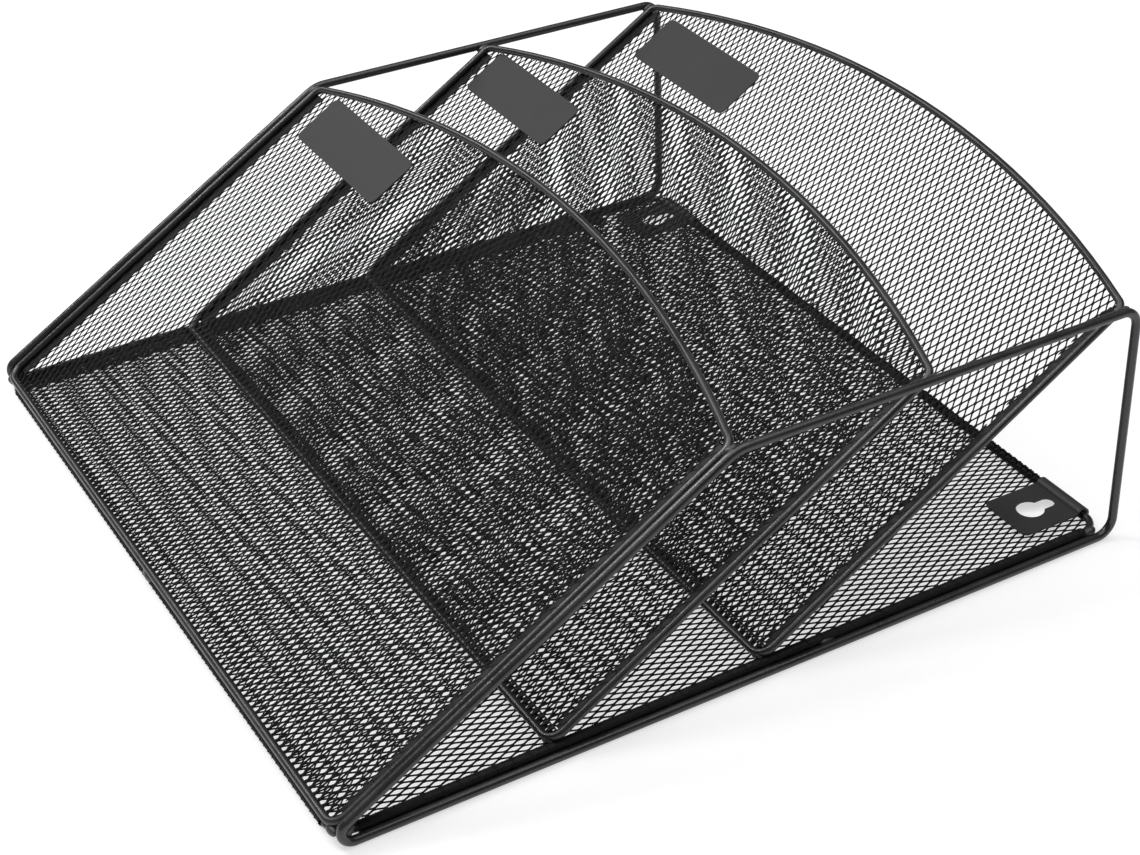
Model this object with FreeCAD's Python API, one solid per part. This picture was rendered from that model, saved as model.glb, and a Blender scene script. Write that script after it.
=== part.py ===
"""Desktop file sorter: a sloping wire stand with three expanded-mesh dividers.

Two identical bent-wire side frames carry a flat mesh floor and three mesh
dividers that lean back at about 32 degrees.  Every joint is a weld, so the
whole stand is one rigid body built from separate wires, sheets and plates.

Frame: +X to the right, +Y to the back, +Z up.  The origin is the middle of the
footprint, on the surface the stand rests on.  All lengths are millimetres.
"""
import math
import os
import FreeCAD
import Part

os.makedirs("parts", exist_ok=True)

# ---- driving dimensions -------------------------------------------------
frame_spacing = 330.0        # between the centre planes of the two side frames
frame_wire = 3.5             # wire of the side frames
loop_wire = 3.0              # wire of the floor loop and the divider loops
gap = 0.05                   # air left between pieces that touch in the metal

# side frame, measured from its sharp front corner along the bottom run
frame_length = 330.0         # front corner to the upright rear post
frame_height = 98.0          # bottom run to top rail
slope_end = 160.0            # where the slope meets the top rail
nose_bend = 4.5              # hairpin at the front
shoulder_bend = 14.0         # slope into rail
post_bend = 7.0              # both ends of the rear post

# floor: a wire loop with a mesh sheet rolled round it
floor_inset = 3.7            # loop wire inboard of the side frame
floor_rise = 1.3             # loop wire above the bottom run
floor_front = 10.55
floor_rear = 327.0
floor_bend = 8.0
mesh_sheet = 0.9             # overall thickness of the expanded mesh
hem_wall = 0.5               # mesh rolled round a wire

# dividers: (bottom y, bottom z, top y); every top is level with the top rail
divider_lines = {
    "front": (10.1, 5.0, 160.0),
    "middle": (89.0, 3.8, 241.0),
    "rear": (172.9, 3.8, 326.0),
}
divider_inset = 3.45         # divider wire inboard of the side frame
divider_crown = 27.2         # rise of the arched top edge
divider_foot_bend = 6.0
divider_top_bend = 5.0
divider_hem = 4.0            # folded mesh edge beside each side wire
mesh_start = 2.4             # mesh begins this far up from the bottom wire

# label plates: (left edge from the side frame, lower and upper edge along the
# slope from the level of the top rail, width)
label_places = {
    "front": (16.5, -21.2, 2.4, 73.0),
    "middle": (12.0, -20.0, 2.2, 69.0),
    "rear": (18.5, -24.0, 0.6, 73.0),
}
label_sheet = 0.6
label_corner = 3.0

# keyhole plates, welded on the floor at the back for hanging the stand
keyhole_spacing = 279.4      # 11 inches between the two keyholes
keyhole_plate_width = 25.2
keyhole_plate_front = 298.5
keyhole_centre = 311.2
keyhole_radius = 5.5
keyhole_slot = 6.0
keyhole_travel = 8.1         # from the round hole to the end of the slot
keyhole_sheet = 0.8
keyhole_corner = 2.5

# weld beads
weld_radius = 0.9
tack_y = 200.0               # where the floor is tacked to each bottom run

# ---- where the stand sits in the shared frame ----------------------------
loop_r = loop_wire / 2
frame_r = frame_wire / 2
hem_r = loop_r + gap + hem_wall
half_width = frame_spacing / 2
half_divider = half_width - divider_inset
crown_radius = (half_divider ** 2 + divider_crown ** 2) / (2 * divider_crown)


def slope_of(name):
    """Unit direction up the slope of a divider, as (y, z), and its length."""
    foot_y, foot_z, top_y = divider_lines[name]
    run = top_y - foot_y
    rise = frame_height - foot_z
    length = math.hypot(run, rise)
    return run / length, rise / length, length


front_edge = floor_front - hem_r
rear_edge = divider_lines["rear"][2] + divider_crown * slope_of("rear")[0] + loop_r
y_middle = (front_edge + rear_edge) / 2


def place(x, y, z):
    """A point given from the side frame's front corner, in the shared frame."""
    return FreeCAD.Vector(x, y - y_middle, z + frame_r)


# ---- bent wire ------------------------------------------------------------
def line(a, b):
    return Part.LineSegment(a, b).toShape()


def arc(a, middle, b):
    return Part.Arc(a, middle, b).toShape()


def unit(vector):
    return vector * (1.0 / vector.Length)


def bend_between(before, corner, after, radius):
    """Start, middle and end of the bend that rounds a corner."""
    to_before = unit(before - corner)
    to_after = unit(after - corner)
    half_angle = to_before.getAngle(to_after) / 2
    reach = radius / math.tan(half_angle)
    inward = unit(to_before + to_after)
    centre = corner + inward * (radius / math.sin(half_angle))
    return corner + to_before * reach, centre - inward * radius, corner + to_after * reach


def rounded_loop(corners, radii):
    """Edges of a closed loop of straight runs joined by tangent bends."""
    count = len(corners)
    bends = []
    for i in range(count):
        after = corners[(i + 1) % count]
        bends.append(bend_between(corners[i - 1], corners[i], after, radii[i]))
    edges = []
    for i in range(count):
        start, middle, end = bends[i]
        edges.append(arc(start, middle, end))
        edges.append(line(end, bends[(i + 1) % count][0]))
    return edges


def along_edge(edge, radius):
    """Round bar along one straight run or one bend."""
    start = edge.valueAt(edge.FirstParameter)
    heading = edge.tangentAt(edge.FirstParameter)
    if isinstance(edge.Curve, Part.Circle):
        profile = Part.Face(Part.Wire(Part.makeCircle(radius, start, heading)))
        angle = math.degrees(edge.LastParameter - edge.FirstParameter)
        return profile.revolve(edge.Curve.Center, edge.Curve.Axis, angle)
    return Part.makeCylinder(radius, edge.Length, start, heading)


def swept(edges, outer, inner=0.0):
    """Round wire, or a tube, following a chain of tangent edges."""
    pieces = [along_edge(edge, outer) for edge in edges]
    solid = pieces[0].multiFuse(pieces[1:]) if len(pieces) > 1 else pieces[0]
    if inner:
        solid = solid.cut(swept(edges, inner))
    return solid


def save(name, shape):
    shape.exportStep(os.path.join("parts", name + ".step"))


# ---- side frames ------------------------------------------------------------
def side_frame_path(x):
    corners = [
        place(x, 0, 0),
        place(x, slope_end, frame_height),
        place(x, frame_length, frame_height),
        place(x, frame_length, 0),
    ]
    return rounded_loop(corners, [nose_bend, shoulder_bend, post_bend, post_bend])


# ---- floor ------------------------------------------------------------------
floor_x = half_width - floor_inset


def floor_corners():
    return [
        place(-floor_x, floor_front, floor_rise),
        place(-floor_x, floor_rear, floor_rise),
        place(floor_x, floor_rear, floor_rise),
        place(floor_x, floor_front, floor_rise),
    ]


def floor_path():
    return rounded_loop(floor_corners(), [floor_bend] * 4)


def keyhole_tool(side, grow):
    """Keyhole cutter: a round hole with a slot running to the back."""
    radius = keyhole_radius + grow
    half_slot = keyhole_slot / 2 + grow
    x = side * keyhole_spacing / 2
    up = FreeCAD.Vector(0, 0, 1)
    bottom = place(x, keyhole_centre, -2)
    end = place(x, keyhole_centre + keyhole_travel, -2)
    corner = place(x - half_slot, keyhole_centre, -2)
    tool = Part.makeCylinder(radius, 12, bottom, up)
    tool = tool.fuse(Part.makeCylinder(half_slot, 12, end, up))
    return tool.fuse(Part.makeBox(2 * half_slot, keyhole_travel, 12, corner))


def floor_mesh():
    """Mesh sheet lying at the height of the loop, rolled round all four runs."""
    inset = loop_r + gap
    corners = []
    for x_side, y, y_side in ((-1, floor_front, 1), (-1, floor_rear, -1),
                              (1, floor_rear, -1), (1, floor_front, 1)):
        z = floor_rise - mesh_sheet / 2
        corners.append(place(x_side * (floor_x - inset), y + y_side * inset, z))
    outline = Part.Wire(rounded_loop(corners, [floor_bend - inset] * 4))
    sheet = Part.Face(outline).extrude(FreeCAD.Vector(0, 0, mesh_sheet))
    path = floor_path()
    for run in (path[1], path[3], path[5], path[7]):
        sheet = sheet.fuse(swept([run], hem_r, loop_r + gap))
    for side in (-1, 1):
        sheet = sheet.cut(keyhole_tool(side, 1.0))
    return sheet


# ---- dividers -----------------------------------------------------------------
class Divider:
    """One divider: its plane, its wire path and the sheet behind the wire."""

    def __init__(self, name):
        self.foot_y, self.foot_z, self.top_y = divider_lines[name]
        self.cos, self.sin, self.length = slope_of(name)

    def at(self, x, up, lift=0.0):
        """Point `up` the slope from the bottom wire and `lift` off its face."""
        y = self.foot_y + up * self.cos - lift * self.sin
        z = self.foot_z + up * self.sin + lift * self.cos
        return place(x, y, z)

    def crown(self, x, radius, lift=0.0):
        """Point on a circle concentric with the arched top edge."""
        centre = self.length + divider_crown - crown_radius
        return self.at(x, centre + math.sqrt(radius ** 2 - x ** 2), lift)

    def path(self):
        centre = self.length + divider_crown - crown_radius
        across = half_divider - divider_top_bend
        inner = crown_radius - divider_top_bend
        turn_up = centre + math.sqrt(inner ** 2 - across ** 2)
        angle = math.atan2(turn_up - centre, across)
        reach = crown_radius * math.cos(angle)
        middle = (angle + 0.0) / 2
        turn_x = across + divider_top_bend * math.cos(middle)
        turn_s = turn_up + divider_top_bend * math.sin(middle)
        foot = divider_foot_bend
        diagonal = foot * (1 - math.sqrt(0.5))
        start = self.at(-half_divider, turn_up)
        left_top = self.crown(-reach, crown_radius)
        right_top = self.crown(reach, crown_radius)
        right_side = self.at(half_divider, turn_up)
        right_foot = self.at(half_divider, foot)
        right_low = self.at(half_divider - foot, 0)
        left_low = self.at(-half_divider + foot, 0)
        left_foot = self.at(-half_divider, foot)
        return [
            line(left_foot, start),
            arc(start, self.at(-turn_x, turn_s), left_top),
            arc(left_top, self.crown(0, crown_radius), right_top),
            arc(right_top, self.at(turn_x, turn_s), right_side),
            line(right_side, right_foot),
            arc(right_foot, self.at(half_divider - diagonal, diagonal), right_low),
            line(right_low, left_low),
            arc(left_low, self.at(-half_divider + diagonal, diagonal), left_foot),
        ]

    def slab(self, outline, low, high):
        """Extrude an outline, given at lift `low`, up to lift `high`."""
        thickness = high - low
        rise = FreeCAD.Vector(0, -self.sin * thickness, self.cos * thickness)
        return Part.Face(Part.Wire(outline)).extrude(rise)

    def mesh(self):
        """Mesh sheet against the back of the wire loop, with folded sides."""
        high = -loop_r - 2 * gap
        low = high - mesh_sheet
        edge = half_divider - loop_r - 2 * gap
        left_low = self.at(-edge, mesh_start, low)
        right_low = self.at(edge, mesh_start, low)
        left_top = self.crown(-edge, crown_radius, low)
        right_top = self.crown(edge, crown_radius, low)
        outline = [
            line(left_low, left_top),
            arc(left_top, self.crown(0, crown_radius, low), right_top),
            line(right_top, right_low),
            line(right_low, left_low),
        ]
        sheet = self.slab(outline, low, high)
        for side in (-1, 1):
            near = side * (edge - divider_hem)
            far = side * edge
            bottom = divider_foot_bend + 2.0
            top = self.length - 6.0
            corners = [
                self.at(near, bottom, low),
                self.at(near, top, low),
                self.at(far, top, low),
                self.at(far, bottom, low),
            ]
            strip = [line(corners[i - 1], corners[i]) for i in range(4)]
            sheet = sheet.fuse(self.slab(strip, low, high + mesh_sheet))
        return sheet

    def label(self, place_on_face):
        """Plain plate on the front of the mesh, near the left top corner."""
        left, bottom, top, width = place_on_face
        low = -loop_r - gap
        x0 = -half_width + left
        s0 = self.length + bottom
        s1 = self.length + top
        corners = [
            self.at(x0, s0, low),
            self.at(x0, s1, low),
            self.at(x0 + width, s1, low),
            self.at(x0 + width, s0, low),
        ]
        return self.slab(rounded_loop(corners, [label_corner] * 4), low, low + label_sheet)


# ---- keyhole plates -------------------------------------------------------------
def keyhole_plate(side):
    """Plate on the floor mesh, its back edge curled over the rear hem."""
    x0 = side * keyhole_spacing / 2 - keyhole_plate_width / 2
    low = floor_rise + mesh_sheet / 2 + gap
    inner = hem_r + gap
    outer = inner + keyhole_sheet
    corner = place(x0, keyhole_plate_front, low)
    depth = floor_rear - keyhole_plate_front
    plate = Part.makeBox(keyhole_plate_width, depth, keyhole_sheet, corner)
    front = [edge for edge in plate.Edges
             if abs(edge.BoundBox.YMax - corner.y) < 0.01 and edge.BoundBox.ZLength > 0.5]
    plate = plate.makeFillet(keyhole_corner, front)
    across = FreeCAD.Vector(1, 0, 0)
    axis_start = place(x0, floor_rear, floor_rise)
    curl = Part.makeCylinder(outer, keyhole_plate_width, axis_start, across)
    under_plate = place(x0 - 1, floor_rear - 10, low - 20)
    curl = curl.cut(Part.makeBox(keyhole_plate_width + 2, 10, 20, under_plate))
    under_hem = place(x0 - 1, floor_rear - 10, floor_rise - 20.6)
    curl = curl.cut(Part.makeBox(keyhole_plate_width + 2, 20, 20, under_hem))
    hem = Part.makeCylinder(inner, keyhole_plate_width + 2,
                            axis_start - across, across)
    plate = plate.fuse(curl).cut(hem)
    return plate.cut(keyhole_tool(side, 0.0)).removeSplitter()


# ---- weld beads -------------------------------------------------------------------
def beads(points):
    """One small ball of weld metal at each point."""
    return Part.makeCompound([Part.makeSphere(weld_radius, point) for point in points])


def valley(first, first_r, second, second_r, turn):
    """Where a bead sits against two parallel wires, given in a cross section.

    `turn` is 1 for the side to the left of the way from first to second.
    """
    reach_1 = first_r + gap + weld_radius
    reach_2 = second_r + gap + weld_radius
    across = (second[0] - first[0], second[1] - first[1])
    apart = math.hypot(across[0], across[1])
    along = (reach_1 ** 2 - reach_2 ** 2 + apart ** 2) / (2 * apart)
    off = math.sqrt(reach_1 ** 2 - along ** 2) * turn
    u = (across[0] / apart, across[1] / apart)
    return first[0] + u[0] * along - u[1] * off, first[1] + u[1] * along + u[0] * off


# ---- build everything ---------------------------------------------------------------
dividers = {name: Divider(name) for name in divider_lines}
frame_names = {-1: "left", 1: "right"}

for side, word in frame_names.items():
    save("side_frame_" + word, swept(side_frame_path(side * half_width), frame_r))
    save("keyhole_plate_" + word, keyhole_plate(side))

save("floor_wire", swept(floor_path(), loop_r))
save("floor_mesh", floor_mesh())

for name, divider in dividers.items():
    save("divider_wire_" + name, swept(divider.path(), loop_r))
    save("divider_mesh_" + name, divider.mesh())
    save("label_plate_" + name, divider.label(label_places[name]))

# beads: divider corners on the top rails, then feet and floor corners
rail_x, rail_z = valley((half_width, frame_height), frame_r,
                        (half_width - divider_inset, frame_height), loop_r, -1)
side_x, side_z = valley((half_width, 0.0), frame_r,
                        (floor_x, floor_rise), hem_r, -1)
foot_z = floor_rise + mesh_sheet / 2 + gap + weld_radius
front_foot = divider_lines["front"]
nose_y, nose_z = valley((front_foot[0], front_foot[1]), loop_r,
                        (floor_front, floor_rise), hem_r, -1)

for side, word in frame_names.items():
    tops = [place(side * rail_x, top_y - 0.5, rail_z)
            for name, (foot_y, low_z, top_y) in divider_lines.items()]
    save("rail_welds_" + word, beads(tops))
    feet = [place(side * (floor_x - 9.0), nose_y, nose_z),
            place(side * side_x, tack_y, side_z),
            place(side * side_x, floor_rear - 5.5, side_z)]
    for name in ("middle", "rear"):
        wire_y, wire_z, top_y = divider_lines[name]
        reach = loop_r + gap + weld_radius
        back = math.sqrt(reach ** 2 - (wire_z - foot_z) ** 2)
        feet.append(place(side * (floor_x - 7.0), wire_y - back, foot_z))
    save("floor_welds_" + word, beads(feet))

save("front_weld", beads([place(0, nose_y, nose_z)]))
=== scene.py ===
# %% [markdown]
# # A black wire file sorter
# The stand is bent steel wire, expanded steel mesh and a few small plates, all
# under one satin black powder coat.  The imported model already holds the wires
# and plates at their exact place, so this lesson keeps them, gives them a real
# finish, and models by hand what a plain solid can't show: the mesh itself, its
# rolled and folded edges, and the lumpy welds.

# %% [markdown]
# ## Load the imported stand
# The solids come in at their true place and size.

# %% Load the frame
import math
import bpy
from mathutils import Matrix, Vector


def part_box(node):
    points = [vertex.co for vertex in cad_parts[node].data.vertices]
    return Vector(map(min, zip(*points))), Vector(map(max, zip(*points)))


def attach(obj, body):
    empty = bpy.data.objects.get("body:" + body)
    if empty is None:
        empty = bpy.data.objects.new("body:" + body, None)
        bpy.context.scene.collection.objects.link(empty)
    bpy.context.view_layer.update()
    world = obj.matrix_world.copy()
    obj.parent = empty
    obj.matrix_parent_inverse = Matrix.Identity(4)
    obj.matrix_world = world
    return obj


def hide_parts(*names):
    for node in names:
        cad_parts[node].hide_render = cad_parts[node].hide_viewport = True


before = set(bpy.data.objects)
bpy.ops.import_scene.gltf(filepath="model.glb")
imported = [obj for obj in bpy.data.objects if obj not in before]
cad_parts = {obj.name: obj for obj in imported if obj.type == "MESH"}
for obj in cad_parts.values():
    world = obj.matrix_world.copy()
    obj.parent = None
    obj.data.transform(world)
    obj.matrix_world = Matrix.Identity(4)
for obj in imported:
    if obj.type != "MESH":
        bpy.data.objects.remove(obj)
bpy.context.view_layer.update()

# %% [markdown]
# ## Sizes
# The sheets are tilted, so their place is easiest to give as a foot line, a top
# line and the slope between them.  All sizes are in millimetres: x from the
# middle of the stand, y from the front corner of the side frames, and z from the
# middle of their bottom wire.  Each divider is given as the y and z of its foot
# and the y of its top.

# %% Sizes of the stand
MM = 0.001
RAIL_HEIGHT = 98.0
SIDE_WIRE = 1.75
LOOP_WIRE = 1.5
DIVIDER_EDGE = 161.55
CROWN = 27.2
DIVIDERS = {
    "front": (10.1, 5.0, 160.0),
    "middle": (89.0, 3.8, 241.0),
    "rear": (172.9, 3.8, 326.0),
}
FLOOR_X = 161.3
FLOOR_FRONT, FLOOR_REAR, FLOOR_Z = 10.55, 327.0, 1.3
POST_Y = 330.0
HEM = 2.25
CROWN_RADIUS = (DIVIDER_EDGE ** 2 + CROWN ** 2) / (2 * CROWN)

post_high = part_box("side_frame_right")[1]
Y_MIDDLE = POST_Y + SIDE_WIRE - post_high.y / MM
Z_REST = SIDE_WIRE


def at(x, y, z):
    """Millimetres, x from the middle and y, z from the side frames' corner, to metres."""
    return Vector((x, y - Y_MIDDLE, z + Z_REST)) * MM


print("middle of the footprint is", round(Y_MIDDLE, 2), "mm behind the corner")

# %% [markdown]
# ## Working by hand, in code
# Every operator acts on what is selected.  These helpers start from an empty
# selection and pick points by where they are, as one would with a mouse.

# %% Selecting and finishing
def nothing_selected():
    if bpy.context.object and bpy.context.object.mode != "OBJECT":
        bpy.ops.object.mode_set(mode="OBJECT")
    bpy.ops.object.select_all(action="DESELECT")


def active(piece):
    nothing_selected()
    piece.select_set(True)
    bpy.context.view_layer.objects.active = piece
    return piece


def pick(test):
    """Select the points of the active piece that pass a test, in edit mode."""
    bpy.ops.object.mode_set(mode="OBJECT")
    mesh = bpy.context.object.data
    for part in (mesh.polygons, mesh.edges):
        part.foreach_set("select", [False] * len(part))
    mesh.vertices.foreach_set("select", [bool(test(v.co)) for v in mesh.vertices])
    bpy.ops.object.mode_set(mode="EDIT")
    bpy.ops.mesh.select_mode(type="VERT")


def edit_all():
    bpy.ops.object.mode_set(mode="EDIT")
    bpy.ops.mesh.select_mode(type="VERT")
    bpy.ops.mesh.select_all(action="SELECT")


nothing_selected()
print("selected after clearing:", len(bpy.context.selected_objects))

# %% [markdown]
# ## Finishing a piece
# A finished piece sits at the origin with its place in its mesh.  A copy gets a
# mesh of its own, so shaping one never changes another, and the parts of one
# piece are joined under one name.

# %% Copies, places and joins
def into_mesh(piece):
    """Move a piece's place into its mesh, so the object sits at the origin."""
    active(piece)
    bpy.ops.object.transform_apply(location=True, rotation=True, scale=True)
    return piece


def copy_of(piece, name):
    active(piece)
    bpy.ops.object.duplicate()
    bpy.context.object.name = name
    return bpy.context.object


def join(pieces, name):
    active(pieces[0])
    for piece in pieces:
        piece.select_set(True)
    bpy.ops.object.join()
    bpy.context.object.name = name
    return bpy.context.object


print("meshes before modelling:", len(bpy.data.meshes))

# %% [markdown]
# ## Satin black powder coat
# Powder coat melts into a skin with a very fine orange peel, and it looks a
# little duller where it pooled or dusted over.  Both change over the surface, so
# they live in one node group that every material of the stand shares, and each
# material sets how strong they are.

# %% The group's sockets
def coat_sockets(group):
    face = group.interface
    colour_in = face.new_socket("Coat", in_out="INPUT", socket_type="NodeSocketColor")
    colour_in.default_value = (0.02, 0.02, 0.02, 1)
    for name, value in (("Gloss", 0.35), ("Peel size", 900.0),
                        ("Peel depth", 0.15), ("Mottle", 0.25)):
        socket = face.new_socket(name, in_out="INPUT", socket_type="NodeSocketFloat")
        socket.default_value = value
    face.new_socket("Colour", in_out="OUTPUT", socket_type="NodeSocketColor")
    face.new_socket("Roughness", in_out="OUTPUT", socket_type="NodeSocketFloat")
    face.new_socket("Normal", in_out="OUTPUT", socket_type="NodeSocketVector")


POWDER = bpy.data.node_groups.new("Powder coat", "ShaderNodeTree")
coat_sockets(POWDER)
print("sockets", [item.name for item in POWDER.interface.items_tree])

# %% [markdown]
# ## Mottle
# Where the powder lay thicker the coat is a little lighter and a little duller.
# One soft noise, centred on zero, drives both, so the dull places and the light
# places are the same ones.

# %% Colour and gloss that drift together
PATCH_SCALE, PATCH_DETAIL = 60.0, 4.0
PATCH_LOW, PATCH_HIGH = 0.3, 0.7
DULLER_PER_MOTTLE = 0.35


def add_mottle(nodes, links, given, out, where):
    patches = nodes.new("ShaderNodeTexNoise")
    patches.inputs["Scale"].default_value = PATCH_SCALE
    patches.inputs["Detail"].default_value = PATCH_DETAIL
    links.new(where.outputs["Object"], patches.inputs["Vector"])
    centred = nodes.new("ShaderNodeMapRange")
    centred.inputs["From Min"].default_value = PATCH_LOW
    centred.inputs["From Max"].default_value = PATCH_HIGH
    centred.inputs["To Min"].default_value = -1.0
    centred.inputs["To Max"].default_value = 1.0
    links.new(patches.outputs["Fac"], centred.inputs["Value"])
    amount = nodes.new("ShaderNodeMath")
    amount.operation = "MULTIPLY"
    links.new(centred.outputs["Result"], amount.inputs[0])
    links.new(given.outputs["Mottle"], amount.inputs[1])
    lift = nodes.new("ShaderNodeMath")
    lift.operation = "ADD"
    lift.inputs[1].default_value = 1.0
    links.new(amount.outputs[0], lift.inputs[0])
    shade = nodes.new("ShaderNodeVectorMath")
    shade.operation = "SCALE"
    links.new(given.outputs["Coat"], shade.inputs[0])
    links.new(lift.outputs[0], shade.inputs["Scale"])
    links.new(shade.outputs["Vector"], out.inputs["Colour"])

    rough = nodes.new("ShaderNodeMath")
    rough.operation = "MULTIPLY_ADD"
    rough.inputs[1].default_value = DULLER_PER_MOTTLE
    links.new(amount.outputs[0], rough.inputs[0])
    links.new(given.outputs["Gloss"], rough.inputs[2])
    links.new(rough.outputs[0], out.inputs["Roughness"])


given = POWDER.nodes.new("NodeGroupInput")
out = POWDER.nodes.new("NodeGroupOutput")
where = POWDER.nodes.new("ShaderNodeTexCoord")
add_mottle(POWDER.nodes, POWDER.links, given, out, where)
print("the group has", len(POWDER.nodes), "nodes with its mottle")

# %% [markdown]
# ## Orange peel
# Melted powder never levels quite flat.  A second, finer noise feeds a bump
# whose depth each material chooses, because the skin on a flat plate ripples
# more than the skin pulled tight round a wire.

# %% A fine ripple in the skin
PEEL_DETAIL, PEEL_HEIGHT = 2.0, 0.0004


def add_peel(nodes, links, given, out, where):
    peel = nodes.new("ShaderNodeTexNoise")
    peel.inputs["Detail"].default_value = PEEL_DETAIL
    links.new(where.outputs["Object"], peel.inputs["Vector"])
    links.new(given.outputs["Peel size"], peel.inputs["Scale"])
    bump = nodes.new("ShaderNodeBump")
    bump.inputs["Distance"].default_value = PEEL_HEIGHT
    links.new(given.outputs["Peel depth"], bump.inputs["Strength"])
    links.new(peel.outputs["Fac"], bump.inputs["Height"])
    links.new(bump.outputs["Normal"], out.inputs["Normal"])


add_peel(POWDER.nodes, POWDER.links, given, out, where)
print("the group has", len(POWDER.nodes), "nodes with its peel")

# %% [markdown]
# ## One coat, seven looks
# The whole stand is coated with the same powder, yet each kind of piece looks
# different.  Drawn wire is smooth, so its coat is glossiest.  The strands are so
# thin that the coat rounds their edges and they mirror little.  The plates are
# flat and take a coarser, duller skin.  One helper puts the shared group in a
# material, and the constants that belong to the shader alone are set on its own
# sockets.

# %% A material for each kind of piece
def coated(name, coat, gloss, peel_size=900.0, peel_depth=0.15, mottle=0.25, mirror=0.5):
    material = bpy.data.materials.new(name)
    material.use_nodes = True
    nodes, links = material.node_tree.nodes, material.node_tree.links
    shader = nodes["Principled BSDF"]
    shader.inputs["Specular IOR Level"].default_value = mirror
    finish = nodes.new("ShaderNodeGroup")
    finish.node_tree = POWDER
    finish.inputs["Coat"].default_value = (*coat, 1)
    finish.inputs["Gloss"].default_value = gloss
    finish.inputs["Peel size"].default_value = peel_size
    finish.inputs["Peel depth"].default_value = peel_depth
    finish.inputs["Mottle"].default_value = mottle
    links.new(finish.outputs["Colour"], shader.inputs["Base Color"])
    links.new(finish.outputs["Roughness"], shader.inputs["Roughness"])
    links.new(finish.outputs["Normal"], shader.inputs["Normal"])
    return material


side_wire_coat = coated("Coated side wire", (0.018, 0.018, 0.0185), 0.28, mirror=0.6)
loop_wire_coat = coated("Coated loop wire", (0.015, 0.015, 0.0155), 0.30, mirror=0.6)
strand_coat = coated("Coated strands", (0.009, 0.009, 0.0095), 0.5, mottle=0.35, mirror=0.12)
hem_coat = coated("Coated rolled hem", (0.008, 0.008, 0.0085), 0.55, 700.0, 0.5, 0.5, 0.22)
label_coat = coated("Coated label plate", (0.036, 0.036, 0.038), 0.58, 120.0, 0.3, 0.12, 0.25)
keyhole_coat = coated("Coated keyhole plate", (0.022, 0.022, 0.023), 0.5, 160.0, 0.3, 0.12)
weld_coat = coated("Coated weld", (0.034, 0.034, 0.035), 0.36, 600.0, 0.4, 0.3)
print("materials", [material.name for material in bpy.data.materials])

# %% [markdown]
# ## The imported wires and plates
# These nodes already have the true shape.  Only their material changes,
# so they stay exactly where the stand's own solids are.

# %% Finish the imported pieces
FINISH = {
    "side_frame": side_wire_coat,
    "floor_wire": loop_wire_coat,
    "divider_wire": loop_wire_coat,
    "label_plate": label_coat,
    "keyhole_plate": keyhole_coat,
}
for name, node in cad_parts.items():
    for start, material in FINISH.items():
        if name.startswith(start):
            node.data.materials.clear()
            node.data.materials.append(material)
finished = [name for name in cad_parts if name.startswith(tuple(FINISH))]
print("finished", len(finished), "packed pieces")

# %% [markdown]
# ## One diamond of expanded mesh
# Expanded mesh is a sheet slit in rows and pulled open.  Each diamond hole has
# thin strands along its sides and a longer, wider bond where two slits end.  It
# could be a picture with holes, but then it would be flat from the side and
# would not let the floor show through at a slant.  Here it is a ring of metal
# with a ridge on both faces, shaped from a six-sided disc, and the strands left
# and right of the hole are tipped opposite ways, as pulling the sheet open tips
# them.  The floor takes a heavier diamond than the dividers, and the rear sheet
# was pulled askew, so in its diamond each row sits a little to one side.

# %% Sizes of the diamond
SHORT_WAY, LONG_WAY = 3.42, 6.54
HALF_SHORT, HALF_LONG = SHORT_WAY / 2, LONG_WAY / 2
BOND_LENGTH, RIDGE, REAR_LEAN = 1.6, 0.15, -0.13
DISC, RIM = 2.0, 0.6
ON_AXIS, OUTER_SIDE, OUTER_TIP = 0.1, 1.4, 1.6
SAME_POINT, SAME_ROW = 0.001, 0.002
HEAVY = {"bond": 1.16, "shoulder": 0.64, "tilt": 0.28}
LIGHT = {"bond": 0.98, "shoulder": 0.53, "tilt": 0.20}


def settle(test, x, y):
    """Scale the picked points of the ring so they land at x and y from its middle."""
    pick(test)
    bpy.ops.object.mode_set(mode="OBJECT")
    chosen = [v.co for v in bpy.context.object.data.vertices if v.select]
    wide = max(abs(c.x) for c in chosen)
    long = max(abs(c.y) for c in chosen)
    bpy.ops.object.mode_set(mode="EDIT")
    bpy.ops.transform.resize(value=(x / wide if x else 1.0, y / long, 1.0),
                             center_override=(0, 0, 0))


print("a diamond is", SHORT_WAY, "by", LONG_WAY, "mm, its bond", BOND_LENGTH, "mm long")

# %% [markdown]
# ## From a disc to a diamond
# A six-sided disc is inset and its middle deleted, which leaves a ring.  Its
# points are moved to where the strands and bonds meet, its outer edge is raised
# to a ridge, and a flipped copy closes the underside.

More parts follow.
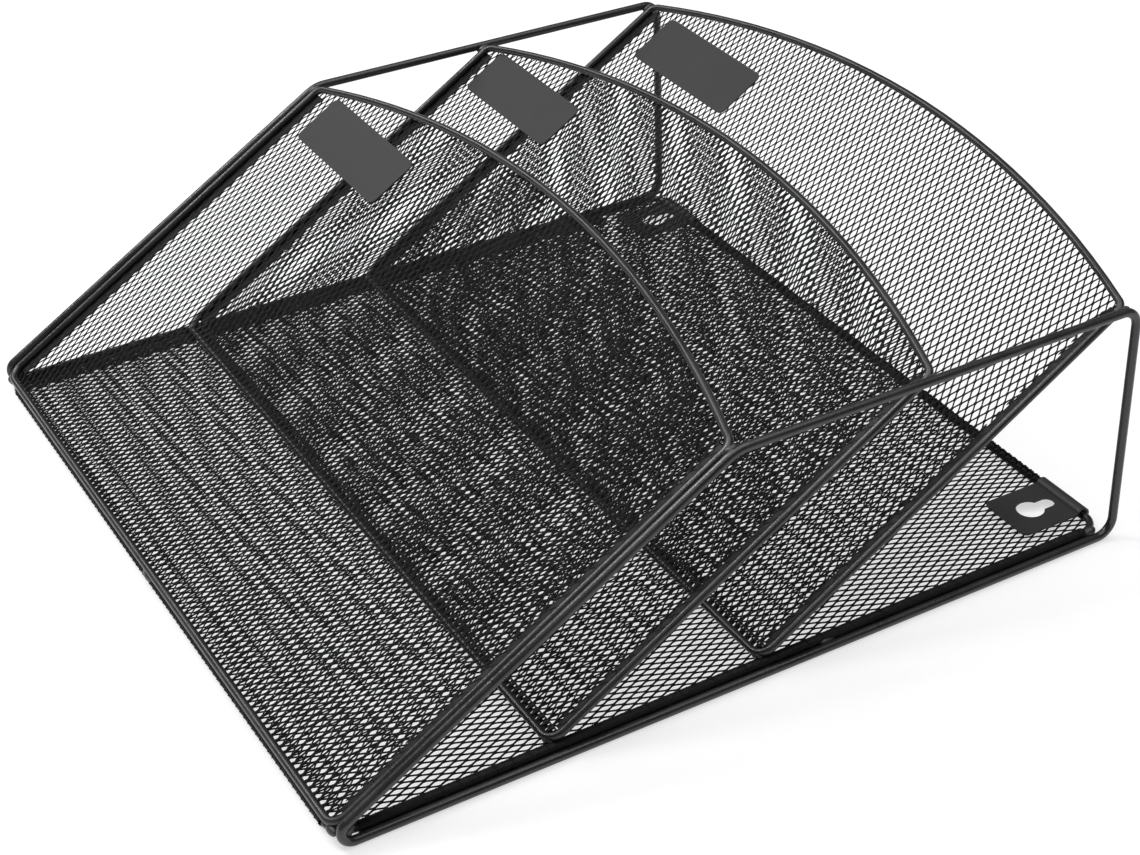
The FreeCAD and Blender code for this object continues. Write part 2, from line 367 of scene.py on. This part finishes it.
# %% Shape the ring
def ring_of_metal(bond, shoulder):
    """The closed ring of metal round one hole, in millimetres."""
    nothing_selected()
    bpy.ops.mesh.primitive_circle_add(vertices=6, radius=DISC, fill_type="NGON")
    edit_all()
    bpy.ops.mesh.inset(thickness=RIM)
    bpy.ops.mesh.delete(type="ONLY_FACE")
    ridge_half = BOND_LENGTH / 2 - shoulder
    tip = HALF_LONG - ridge_half
    settle(lambda c: abs(c.x) < ON_AXIS and abs(c.y) > OUTER_TIP, None, tip)
    settle(lambda c: abs(c.x) > OUTER_SIDE, HALF_SHORT, ridge_half)
    bpy.ops.transform.translate(value=(0, 0, RIDGE))
    pick(lambda c: abs(c.x) < ON_AXIS and abs(c.y) > tip - 0.01)
    bpy.ops.transform.translate(value=(0, 0, RIDGE))
    settle(lambda c: abs(c.x) < ON_AXIS and abs(c.y) < OUTER_TIP, None,
           HALF_LONG - BOND_LENGTH / 2)
    settle(lambda c: ON_AXIS < abs(c.x) < OUTER_SIDE, HALF_SHORT - bond / 2,
           BOND_LENGTH / 2 - shoulder / 2)
    edit_all()
    bpy.ops.mesh.duplicate()
    bpy.ops.transform.resize(value=(1, 1, -1), center_override=(0, 0, 0))
    bpy.ops.mesh.flip_normals()
    edit_all()
    bpy.ops.mesh.remove_doubles(threshold=SAME_POINT)


print("the disc starts", DISC, "mm in radius, its rim", RIM, "mm wide")

# %% [markdown]
# ## The pair that repeats
# The strands are tipped, then the ring is copied half a diamond over and up.
# Those two rings are what repeats.  For the rear sheet each level of points is
# moved sideways by a share of its height, which is how the lean is made by hand.

# %% Model the pair of diamonds
def model_diamond(name, bond, shoulder, tilt, lean=0.0):
    """Metal round two holes, in mm; lean moves each row sideways as it climbs."""
    ring_of_metal(bond, shoulder)
    for side in (-1, 1):
        pick(lambda c: ON_AXIS < c.x * side < HALF_SHORT - ON_AXIS)
        bpy.ops.transform.translate(value=(0, 0, side * tilt))
    edit_all()
    bpy.ops.mesh.duplicate()
    bpy.ops.transform.translate(value=(HALF_SHORT, HALF_LONG, 0))
    edit_all()
    bpy.ops.mesh.remove_doubles(threshold=SAME_POINT)
    bpy.ops.object.mode_set(mode="OBJECT")
    bpy.context.object.name = name
    if lean:
        points = bpy.context.object.data.vertices
        for level in sorted({round(v.co.y, 3) for v in points}):
            pick(lambda c: abs(c.y - level) < SAME_ROW)
            bpy.ops.transform.translate(value=(lean * level, 0, 0))
        bpy.ops.object.mode_set(mode="OBJECT")
    return bpy.context.object


UNITS = {
    "floor": model_diamond("floor_unit", **HEAVY),
    "divider": model_diamond("divider_unit", **LIGHT),
    "leaning": model_diamond("leaning_unit", **LIGHT, lean=REAR_LEAN),
}
for kind, unit in UNITS.items():
    print(kind, "unit has", len(unit.data.polygons), "faces")

# %% [markdown]
# ## Sheets of mesh
# A sheet is the pair of diamonds repeated in two directions by array modifiers
# that merge the points they share, then trimmed with straight bisect cuts, as a
# guillotine would, and every cut strand is closed.  The arched top of a divider
# is a fan of short cuts that follow the arc.  First comes the repeating.

# %% Repeat the diamond
def repeat(name, across, along, kind="floor"):
    """A grid of diamonds, in millimetres, centred on the origin."""
    sheet = copy_of(UNITS[kind], name)
    lean = REAR_LEAN if kind == "leaning" else 0.0
    along_step = (lean * LONG_WAY, LONG_WAY, 0)
    for step, count in (((SHORT_WAY, 0, 0), across), (along_step, along)):
        array = sheet.modifiers.new("repeat", "ARRAY")
        array.use_relative_offset = False
        array.use_constant_offset = True
        array.constant_offset_displace = step
        array.count = count
        array.use_merge_vertices = True
        array.merge_threshold = SAME_POINT
        bpy.ops.object.modifier_apply(modifier=array.name)
    edit_all()
    back = (along - 0.5) * HALF_LONG
    bpy.ops.transform.translate(value=(-(across - 0.5) * HALF_SHORT - lean * back, -back, 0))
    bpy.ops.object.mode_set(mode="OBJECT")
    return sheet


print("the floor and side folds use the", list(UNITS)[0], "unit")

# %% [markdown]
# ## Cutting and laying a sheet
# A shear leaves each cut strand with a square end, so after the cuts the open
# ends are found as edges with a face on one side only, and filled.  A sheet is
# drawn flat in millimetres, then one matrix scales it and lays it in its place.

# %% Trim and lay
def trim(sheet, cuts):
    """Cut away what lies beyond each (point, outward direction)."""
    active(sheet)
    for point, outward in cuts:
        edit_all()
        bpy.ops.mesh.bisect(plane_co=(*point, 0), plane_no=(*outward, 0),
                            clear_outer=True)
    close_strands()
    return sheet


def close_strands():
    bpy.ops.mesh.select_all(action="DESELECT")
    bpy.ops.mesh.select_non_manifold(extend=False, use_wire=False, use_multi_face=False,
                                     use_non_contiguous=False, use_verts=False)
    bpy.ops.mesh.fill_holes(sides=0)
    bpy.ops.object.mode_set(mode="OBJECT")


def box_cuts(left, right, low, high):
    return [((left, 0), (-1, 0)), ((right, 0), (1, 0)),
            ((0, low), (0, -1)), ((0, high), (0, 1))]


def lay(sheet, matrix, material):
    """Put a sheet modelled in millimetres at its place, and coat it."""
    sheet.matrix_world = matrix
    into_mesh(sheet)
    sheet.data.materials.clear()
    sheet.data.materials.append(material)
    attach(sheet, "root")
    return sheet


print("a box of cuts has", len(box_cuts(-1, 1, -1, 1)), "planes")

# %% [markdown]
# ## The floor sheet
# The floor is one sheet with about nine thousand diamonds.  It is modelled as a
# left and a right half that meet on the middle line, which keeps each mesh light
# enough to handle.  The mesh is cleared away round each keyhole so a screw head
# can pass.

# %% Lay the floor mesh
def floor_matrix():
    middle = at(0, (FLOOR_FRONT + FLOOR_REAR) / 2, FLOOR_Z)
    return Matrix.Translation(middle) @ Matrix.Scale(MM, 4)


KEYHOLE_X = 139.7
KEYHOLE_Y = 311.2 - (FLOOR_FRONT + FLOOR_REAR) / 2
HEAD_CLEAR, SHANK_CLEAR, SLOT_CLEAR = 6.8, 4.2, 12.5
SHEET_INSET = 1.2
FLOOR_COLUMNS, FLOOR_ROWS = 98, 50
floor_depth = (FLOOR_REAR - FLOOR_FRONT) / 2 - SHEET_INSET


def in_keyhole(c, side):
    dx, dy = c.x - side * KEYHOLE_X, c.y - KEYHOLE_Y
    in_slot = abs(dx) < SHANK_CLEAR and 0 < dy < SLOT_CLEAR
    return math.hypot(dx, dy) < HEAD_CLEAR or in_slot


for side, word in ((-1, "left"), (1, "right")):
    half = repeat("floor_mesh_" + word, FLOOR_COLUMNS, FLOOR_ROWS)
    inner, outer = sorted((0, side * (FLOOR_X - SHEET_INSET)))
    trim(half, box_cuts(inner, outer, -floor_depth, floor_depth))
    pick(lambda c: in_keyhole(c, side))
    bpy.ops.mesh.delete(type="VERT")
    bpy.ops.mesh.select_all(action="DESELECT")
    close_strands()
    lay(half, floor_matrix(), strand_coat)
    print(half.name, len(half.data.polygons), "faces")

# %% [markdown]
# ## Rolled edges of the floor
# On the real floor all four sides are rolled round the wire.  Here the roll is
# only imitated, and not well: strands of the same diamonds are gathered to the
# width of the hem, and a rod with rounded ends fills the middle.  The rod hides
# most of the strands that cross it and lets the outer ones show.

# %% A helper for the inner rod
ROD_SIDES, ROD_ROUNDING = 20, 0.5


def inner_rod(length, fill):
    """A rod along Y with rounded ends; fill is its share of the hem's radius."""
    nothing_selected()
    bpy.ops.mesh.primitive_cylinder_add(vertices=ROD_SIDES, radius=fill * HEM,
                                        depth=length, rotation=(math.pi / 2, 0, 0))
    rod = into_mesh(bpy.context.object)
    edit_all()
    bpy.ops.mesh.bevel(offset=ROD_ROUNDING, segments=2, affect="EDGES")
    bpy.ops.object.mode_set(mode="OBJECT")
    return rod


print("a rod has", ROD_SIDES, "sides")

# %% [markdown]
# ## Gathering the strip
# A strip is bent with a Simple Deform modifier, which was meant to wind it into
# a tube.  Measured, it doesn't: the strands end up at every depth, through the
# middle too, and two to three times too wide, so they are scaled down to the
# hem.  A better hem would wind the strip with its outer face always outwards.

# %% A helper that gathers a strip
ALMOST_CLOSED, UNDER_TURN = 0.985, 0.86


def gathered_strip(name, long_way_round, length, fill):
    """Strands gathered along Y with a rod in them, centred on the origin."""
    if long_way_round:
        across, along, radius = int(length / SHORT_WAY) + 3, 2, LONG_WAY * 2 / math.tau
    else:
        across, along, radius = 4, int(length / LONG_WAY) + 3, SHORT_WAY * 4 / math.tau
    strip = repeat(name, across + 1, along + 1)
    if long_way_round:
        trim(strip, box_cuts(-length / 2, length / 2, -LONG_WAY, LONG_WAY))
    else:
        trim(strip, box_cuts(-2 * SHORT_WAY, 2 * SHORT_WAY, -length / 2, length / 2))
    if long_way_round:
        edit_all()
        bpy.ops.transform.rotate(value=math.pi / 2, orient_axis="Z",
                                 center_override=(0, 0, 0))
        bpy.ops.object.mode_set(mode="OBJECT")
    roll = strip.modifiers.new("roll", "SIMPLE_DEFORM")
    roll.deform_method = "BEND"
    roll.deform_axis = "Y"
    roll.angle = math.tau * ALMOST_CLOSED
    bpy.ops.object.modifier_apply(modifier=roll.name)
    points = [v.co for v in strip.data.vertices]
    low = Vector([min(c[k] for c in points) for k in range(3)])
    high = Vector([max(c[k] for c in points) for k in range(3)])
    middle = (low + high) / 2
    squeeze = HEM * 2 / (high.x - low.x)
    edit_all()
    bpy.ops.transform.translate(value=-middle)
    bpy.ops.transform.resize(value=(squeeze, 1, squeeze), center_override=(0, 0, 0))
    bpy.ops.mesh.duplicate()
    bpy.ops.transform.rotate(value=math.pi / 4, orient_axis="Y", center_override=(0, 0, 0))
    bpy.ops.transform.resize(value=(UNDER_TURN, 1, UNDER_TURN),
                             center_override=(0, 0, 0))
    bpy.ops.object.mode_set(mode="OBJECT")
    print(name, "bent to", round(high.x - low.x, 2), "mm, scaled to", 2 * HEM, "mm")
    return join([strip, inner_rod(length, fill)], name)


print("a hem is", 2 * HEM, "mm across")

# %% [markdown]
# ## The four hems
# Each run stops short of the corners, where the wire bends.  Three hems show
# their diamonds on the real stand, so their rod fills only part of the width.
# The right one looks like a plain band there, so its rod is nearly full width.

# %% Lay a hem along each run
OPEN_ROLL, TIGHT_ROLL = 0.8, 0.96
CORNER = 8.0
side_length = FLOOR_REAR - FLOOR_FRONT - 2 * CORNER
end_length = 2 * (FLOOR_X - CORNER)
middle_y = (FLOOR_FRONT + FLOOR_REAR) / 2
quarter_turn = Matrix.Rotation(math.pi / 2, 4, "Z")
for name, x, y, ends, fill in (("hem_left", -FLOOR_X, middle_y, False, OPEN_ROLL),
                               ("hem_right", FLOOR_X, middle_y, False, TIGHT_ROLL),
                               ("hem_front", 0, FLOOR_FRONT, True, OPEN_ROLL),
                               ("hem_rear", 0, FLOOR_REAR, True, OPEN_ROLL)):
    hem = gathered_strip(name, ends, end_length if ends else side_length, fill)
    turn = quarter_turn if ends else Matrix.Identity(4)
    place = Matrix.Translation(at(x, y, FLOOR_Z))
    lay(hem, place @ turn @ Matrix.Scale(MM, 4), hem_coat)
    print(hem.name, len(hem.data.polygons), "faces")

# %% [markdown]
# ## The left flap
# Along the left side a flap about a centimetre wide lies flat on the floor.
# Three strips of the same diamonds, each shifted a little from the last, cover
# each other's holes and give its dark, knotted look, and they are joined into one
# piece.  The other floor pieces stay separate, and the plain packed sheet is hidden.

# %% Fold the left flap
FLAP_LAYERS = ((1.1, 0.45), (2.9, 0.8), (4.3, 0.3))
FLAP_X, FLAP_WIDTH, FLAP_STOPS_SHORT = -155, 10.8, 34
FLAP_COLUMNS = 6
layers = []
for shift, lift in FLAP_LAYERS:
    fold = repeat("fold", FLAP_COLUMNS, FLOOR_ROWS)
    edit_all()
    bpy.ops.transform.translate(value=(FLAP_X + shift, shift, 0))
    flap_edge = FLAP_WIDTH - shift / 4 - FLOOR_X
    trim(fold, box_cuts(SHEET_INSET - FLOOR_X, flap_edge,
                        -floor_depth, floor_depth - FLAP_STOPS_SHORT))
    lay(fold, floor_matrix() @ Matrix.Translation((0, 0, lift)), hem_coat)
    layers.append(fold)
floor_fold = join(layers, "floor_fold_left")
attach(floor_fold, "root")

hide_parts("floor_mesh")

# %% [markdown]
# ## Divider sheets
# Each divider sheet lies against the back of its wire loop, on a slope.  It is
# drawn flat, X across and Y up the slope, with its foot on the X axis, and one
# matrix tilts it into place.  These helpers give that matrix, the length of the
# slope, and the cuts that follow the arched top.

# %% Helpers for the slope and the arch
SHEET_LIFT = -(LOOP_WIRE + 0.25)


def divider_plane(name, lift):
    """Matrix that lays a millimetre drawing on a divider: X across, Y up the slope."""
    foot_y, foot_z, top_y = DIVIDERS[name]
    slope = math.atan2(RAIL_HEIGHT - foot_z, top_y - foot_y)
    face = Matrix.Rotation(slope, 4, "X")
    return (Matrix.Translation(at(0, foot_y, foot_z)) @ face
            @ Matrix.Translation((0, 0, lift * MM)) @ Matrix.Scale(MM, 4))


def divider_length(name):
    foot_y, foot_z, top_y = DIVIDERS[name]
    return math.hypot(RAIL_HEIGHT - foot_z, top_y - foot_y)


def arch_cuts(length, radius, count=18):
    """Straight cuts that follow the arched top, a little above its wire's middle."""
    centre = length + CROWN - CROWN_RADIUS
    spread = math.asin(DIVIDER_EDGE / CROWN_RADIUS)
    cuts = []
    for i in range(count):
        a = spread * (2 * (i + 0.5) / count - 1)
        out = (math.sin(a), math.cos(a))
        cuts.append(((radius * out[0], centre + radius * out[1]), out))
    return cuts


print("slopes", {name: round(divider_length(name), 1) for name in DIVIDERS}, "mm")

# %% [markdown]
# ## Folded sides
# The two sides of a divider sheet are folded over to the front to hide the sharp
# ends, so beside each side wire there is a narrow band several layers deep, and
# that is why the edges look dark.  The top layer is a strip of real diamonds.
# The layers under it are pressed flat, so a thin strip with rounded edges does
# for them and reaches in under the wire.

# %% A helper for the pressed layers
PRESSED_ROUNDING = 0.3


def pressed_fold(width, length, thick):
    """The flattened inner layers of a fold: a thin strip with pressed, rounded edges."""
    nothing_selected()
    bpy.ops.mesh.primitive_cube_add(size=1.0, scale=(width, length, thick))
    strip = into_mesh(bpy.context.object)
    edit_all()
    bpy.ops.mesh.bevel(offset=thick * PRESSED_ROUNDING, segments=2, affect="EDGES")
    bpy.ops.object.mode_set(mode="OBJECT")
    return strip


SHEET_EDGE = DIVIDER_EDGE - LOOP_WIRE - 0.1
print("divider sheets are", 2 * SHEET_EDGE, "mm wide")

# %% [markdown]
# ## A fold for each side
# The strip of diamonds starts a little above the foot and stops just below the
# arch, and the pressed strip under it is centred a little nearer the wire.

# %% Fold the sides
DIVIDER_COLUMNS, DIVIDER_ROWS = 110, 34
FOLD_WIDTH, FOLD_LIFT = 4.6, 0.55
FOLD_START, FOLD_TOP_GAP = 5.0, 2.0
FOLD_COLUMNS, FOLD_INSET, FOLD_NUDGE, FOLD_MIDDLE = 4, 4, 0.9, 106.3
PRESSED_WIDTH, PRESSED_THICK, PRESSED_LIFT = 5.2, 0.5, 0.35
PRESSED_INSET = 1.1


def side_folds(name, length, side):
    """The strip of diamonds and the pressed strip beside one side wire."""
    fold = repeat("fold", FOLD_COLUMNS, DIVIDER_ROWS)
    edit_all()
    across = side * (SHEET_EDGE - FOLD_INSET) + FOLD_NUDGE
    bpy.ops.transform.translate(value=(across, FOLD_MIDDLE, 0))
    near, far = sorted((side * (SHEET_EDGE - FOLD_WIDTH), side * SHEET_EDGE))
    trim(fold, box_cuts(near, far, FOLD_START, length - FOLD_TOP_GAP))
    lay(fold, divider_plane(name, SHEET_LIFT + FOLD_LIFT), hem_coat)
    flat = pressed_fold(PRESSED_WIDTH, length - FOLD_START - FOLD_TOP_GAP, PRESSED_THICK)
    middle = (length + FOLD_START - FOLD_TOP_GAP) / 2
    place = Matrix.Translation((side * (SHEET_EDGE - PRESSED_INSET), middle, 0))
    lay(flat, divider_plane(name, SHEET_LIFT + PRESSED_LIFT) @ place, hem_coat)
    return [fold, flat]


print("a side fold is", FOLD_WIDTH, "mm wide")

# %% [markdown]
# ## A folded foot
# The middle and rear sheets also turn up at the foot, where they meet the floor.
# Two short layers, the upper one shifted, make the dark line there.

# %% Fold the foot
FOOT_LAYERS = ((1.0, 0.45), (2.6, 0.9))
FOOT_LOW, FOOT_HIGH, FOOT_MIDDLE = 0.8, 4.6, 4.0


def foot_folds(name):
    folds = []
    for shift, lift in FOOT_LAYERS:
        fold = repeat("fold", FLOOR_COLUMNS, 2)
        edit_all()
        bpy.ops.transform.translate(value=(shift, FOOT_MIDDLE + shift, 0))
        trim(fold, box_cuts(-SHEET_EDGE, SHEET_EDGE, FOOT_LOW, FOOT_HIGH))
        lay(fold, divider_plane(name, SHEET_LIFT + lift), hem_coat)
        folds.append(fold)
    return folds


print("a foot has", len(FOOT_LAYERS), "layers")

# %% [markdown]
# ## Lay the three sheets
# Every divider gets its sheet, trimmed at the sides, the foot and the arch, and
# its folds joined into one piece.  The sheet takes the place of the plain packed
# one.  The single diamonds have done their work after this and are deleted.

# %% Lay the divider meshes
ARCH_OVERLAP, FOOT_GAP, HALF_SHEET = 0.4, 0.6, 105
for name in DIVIDERS:
    length = divider_length(name)
    kind = "leaning" if name == "rear" else "divider"
    sheet = repeat("divider_mesh_" + name + "_strands", DIVIDER_COLUMNS, DIVIDER_ROWS, kind)
    edit_all()
    bpy.ops.transform.translate(value=(0, HALF_SHEET, 0))
    cuts = [((-SHEET_EDGE, 0), (-1, 0)), ((SHEET_EDGE, 0), (1, 0)), ((0, FOOT_GAP), (0, -1))]
    trim(sheet, cuts + arch_cuts(length, CROWN_RADIUS + ARCH_OVERLAP))
    lay(sheet, divider_plane(name, SHEET_LIFT), strand_coat)
    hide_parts("divider_mesh_" + name)
    folds = side_folds(name, length, -1) + side_folds(name, length, 1)
    if name != "front":
        folds += foot_folds(name)
    folded = join(folds, "divider_fold_" + name)
    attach(folded, "root")
    print(sheet.name, len(sheet.data.polygons), "faces, folds", len(folded.data.polygons))

nothing_selected()
for unit in UNITS.values():
    bpy.data.objects.remove(unit)

# %% [markdown]
# ## Welds
# The wires are joined by small welds, and the coat rounds them over.  Beads in a
# row differ from each other, so each is shaped from a coarse sphere, roughened
# with the next seed, smoothed, and stretched along the wires it joins.  The seeds
# start again for every row, so the left and the right side match.  The beads of
# one kind of joint on one side make one piece.

# %% Model a weld bead
BEAD_ROUGHNESS = 0.22


def lump(place, size, turn, seed):
    nothing_selected()
    bpy.ops.mesh.primitive_ico_sphere_add(subdivisions=2, radius=1.0)
    edit_all()
    bpy.ops.transform.vertex_random(offset=BEAD_ROUGHNESS, seed=seed)
    bpy.ops.object.mode_set(mode="OBJECT")
    piece = bpy.context.object
    soft = piece.modifiers.new("soft", "SUBSURF")
    soft.levels = soft.render_levels = 1
    bpy.ops.object.modifier_apply(modifier=soft.name)
    bpy.ops.object.shade_smooth()
    piece.matrix_world = (Matrix.Translation(place) @ Matrix.Rotation(turn, 4, "X")
                          @ Matrix.Diagonal((size[0] * MM, size[1] * MM, size[2] * MM, 1)))
    return into_mesh(piece)


def weld_group(name, replaced, places):
    lumps = [lump(at(*place), size, turn, seed)
             for seed, (place, size, turn) in enumerate(places)]
    group = join(lumps, name)
    group.data.materials.clear()
    group.data.materials.append(weld_coat)
    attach(group, "root")
    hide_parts(replaced)
    return group


print("beads are roughened by", BEAD_ROUGHNESS, "of their radius")

# %% [markdown]
# ## A bead at every joint
# Each bead is given by its place, its half sizes and its turn about the X axis.
# The upper row joins the divider corners to the top rails.  The lower row joins
# the floor wire to the side frames and the divider feet to the floor wire, and
# one long bead sits in the middle of the front edge.

# %% Place the weld beads
SLOPE = math.radians(31.5)
FRAME_X = 165.0
for side, word in ((-1, "left"), (1, "right")):
    seam = side * (FRAME_X - SIDE_WIRE)
    tops = [((seam, top_y - 1.5, RAIL_HEIGHT - 0.6), (1.9, 3.2, 1.7), 0.3)
            for foot_y, foot_z, top_y in DIVIDERS.values()]
    weld_group("rail_beads_" + word, "rail_welds_" + word, tops)
    feet = [((seam, 14.0, 3.6), (2.0, 3.4, 2.4), SLOPE),
            ((side * 160.0, 10.4, 3.2), (3.2, 1.8, 2.0), 0.0),
            ((side * 158.4, 89.6, 3.2), (2.8, 2.0, 1.8), 0.0),
            ((side * 158.4, 173.4, 3.2), (2.8, 2.0, 1.8), 0.0),
            ((side * 163.0, 200.0, 1.0), (1.6, 3.4, 1.7), 0.0),
            ((side * 162.8, 321.0, 2.0), (1.9, 3.0, 2.0), 0.2)]
    weld_group("floor_beads_" + word, "floor_welds_" + word, feet)
    print(word, "side has", len(tops) + len(feet), "beads")
weld_group("front_bead", "front_weld", [((0, 9.4, 3.2), (4.2, 1.5, 1.9), 0.0)])

# %% [markdown]
# ## A pale floor
# Black coat shows only what it reflects, so what surrounds it matters more than
# its own colour.  The floor is a wide sheet of paper that glows a little, so it
# stays white under the stand, where many layers of mesh would shade it.  With
# less glow it turns grey there, and with much more the thin strands are lost in
# the glare.

# %% Floor
PAPER_SIZE, PAPER_GREY, PAPER_GLOW = 12.0, 0.5, 0.6
nothing_selected()
bpy.ops.mesh.primitive_plane_add(size=PAPER_SIZE, location=(0, 0, 0))
ground = bpy.context.object
ground.name = "ground"
paper = bpy.data.materials.new("White paper")
paper.use_nodes = True
paper_shader = paper.node_tree.nodes["Principled BSDF"]
paper_shader.inputs["Base Color"].default_value = (PAPER_GREY, PAPER_GREY, PAPER_GREY, 1)
paper_shader.inputs["Roughness"].default_value = 0.9
paper_shader.inputs["Emission Color"].default_value = (1, 1, 1, 1)
paper_shader.inputs["Emission Strength"].default_value = PAPER_GLOW
ground.data.materials.append(paper)
print("paper is", PAPER_SIZE, "m wide and glows at", PAPER_GLOW)

# %% [markdown]
# ## Soft studio light
# Three area lamps do the work.  A long narrow one at the front left draws the
# long thin highlights on the wires, a softer one further left lifts their sides,
# and a large one overhead lights the paper evenly.  A weak white surround keeps
# the undersides from going fully black.

# %% Light
WORLD_LEVEL = 0.14
world = bpy.data.worlds.new("Bright room")
bpy.context.scene.world = world
world.use_nodes = True
world.node_tree.nodes["Background"].inputs["Color"].default_value = (1, 1, 1, 1)
world.node_tree.nodes["Background"].inputs["Strength"].default_value = WORLD_LEVEL


def soft_lamp(name, place, target, size, power):
    lamp = bpy.data.lights.new(name, "AREA")
    lamp.shape = "RECTANGLE"
    lamp.size, lamp.size_y = size
    lamp.energy = power
    holder = bpy.data.objects.new(name, lamp)
    bpy.context.scene.collection.objects.link(holder)
    holder.location = place
    aim = Vector(target) - Vector(place)
    holder.rotation_euler = aim.to_track_quat("-Z", "Y").to_euler()
    print(name, "lamp", power, "W")


soft_lamp("Key", (-0.75, -0.68, 1.36), (0, 0, 0.05), (0.14, 0.9), 10)
soft_lamp("Left", (-1.7, -0.4, 1.3), (0, 0, 0.05), (0.5, 1.0), 7)
soft_lamp("Overhead", (0.1, 0.0, 2.0), (0.1, 0, 0), (2.2, 2.2), 32)

# %% [markdown]
# ## Camera
# The stand is seen from its right side, a little to the front and above, from
# close enough for the near corner to look large.  The lens is shifted, as a view
# camera's is, so the stand sits off the axis of the lens without being turned.

# %% Camera
LENS, SHIFT_X, SHIFT_Y = 71.18, -0.109, 0.017
CAMERA_X, CAMERA_Y, CAMERA_Z = 670.69, -171.98, 501.85
AZIMUTH, ELEVATION, ROLL = 58.033, 33.655, -0.191
camera_data = bpy.data.cameras.new("Camera")
camera_data.sensor_width = 36.0
camera_data.lens = LENS
camera_data.shift_x, camera_data.shift_y = SHIFT_X, SHIFT_Y
camera = bpy.data.objects.new("Camera", camera_data)
bpy.context.scene.collection.objects.link(camera)
camera.location = at(CAMERA_X, CAMERA_Y, CAMERA_Z)
azimuth, elevation, roll = (math.radians(a) for a in (AZIMUTH, ELEVATION, ROLL))
forward = Vector((-math.sin(azimuth) * math.cos(elevation),
                  math.cos(azimuth) * math.cos(elevation), -math.sin(elevation)))
turn = forward.to_track_quat("-Z", "Y")
camera.rotation_mode = "QUATERNION"
camera.rotation_quaternion = turn @ Matrix.Rotation(roll, 3, "Z").to_quaternion()
bpy.context.scene.camera = camera
bpy.context.scene.view_settings.view_transform = "Standard"
print("camera", [round(v, 3) for v in camera.location])
